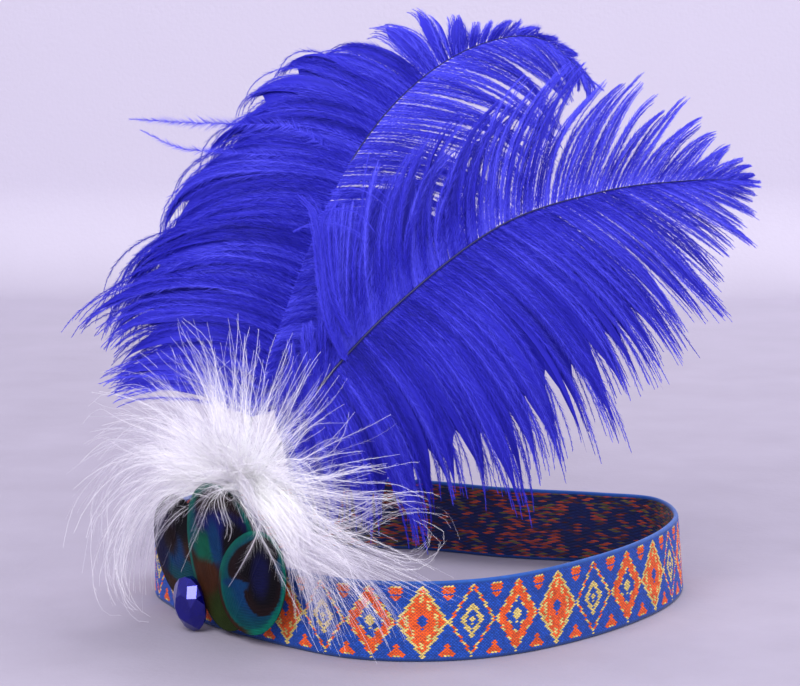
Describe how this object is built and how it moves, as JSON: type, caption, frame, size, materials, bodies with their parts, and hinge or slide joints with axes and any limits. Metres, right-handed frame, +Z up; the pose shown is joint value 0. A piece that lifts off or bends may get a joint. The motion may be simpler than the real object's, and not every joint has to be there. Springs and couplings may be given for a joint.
{
  "type": "flapper feather headband",
  "caption": "Woven elastic headband with two royal blue ostrich plumes, white marabou, three peacock eye petals and a faceted oval gem.",
  "frame": {"origin": "bottom centre of the bounding box, on the surface the band stands on", "axes": "+Z up, +X to the right and +Y away as seen from the front, where the ornament is at the front left"},
  "size_m": [0.2118, 0.1836, 0.1871],
  "materials": {
    "woven_elastic": "matte jacquard weave",
    "felt": "matte",
    "peacock": "iridescent feather",
    "gem": "gloss",
    "marabou": "soft down",
    "plume": "soft feather"
  },
  "bodies": {
    "root": {"band": "woven_elastic", "backing_pad": "felt", "petal_left": "peacock", "petal_centre": "peacock", "petal_right": "peacock", "gem": "gem", "marabou": "marabou", "plume_front": "plume", "plume_rear": "plume"}
  },
  "joints": []
}
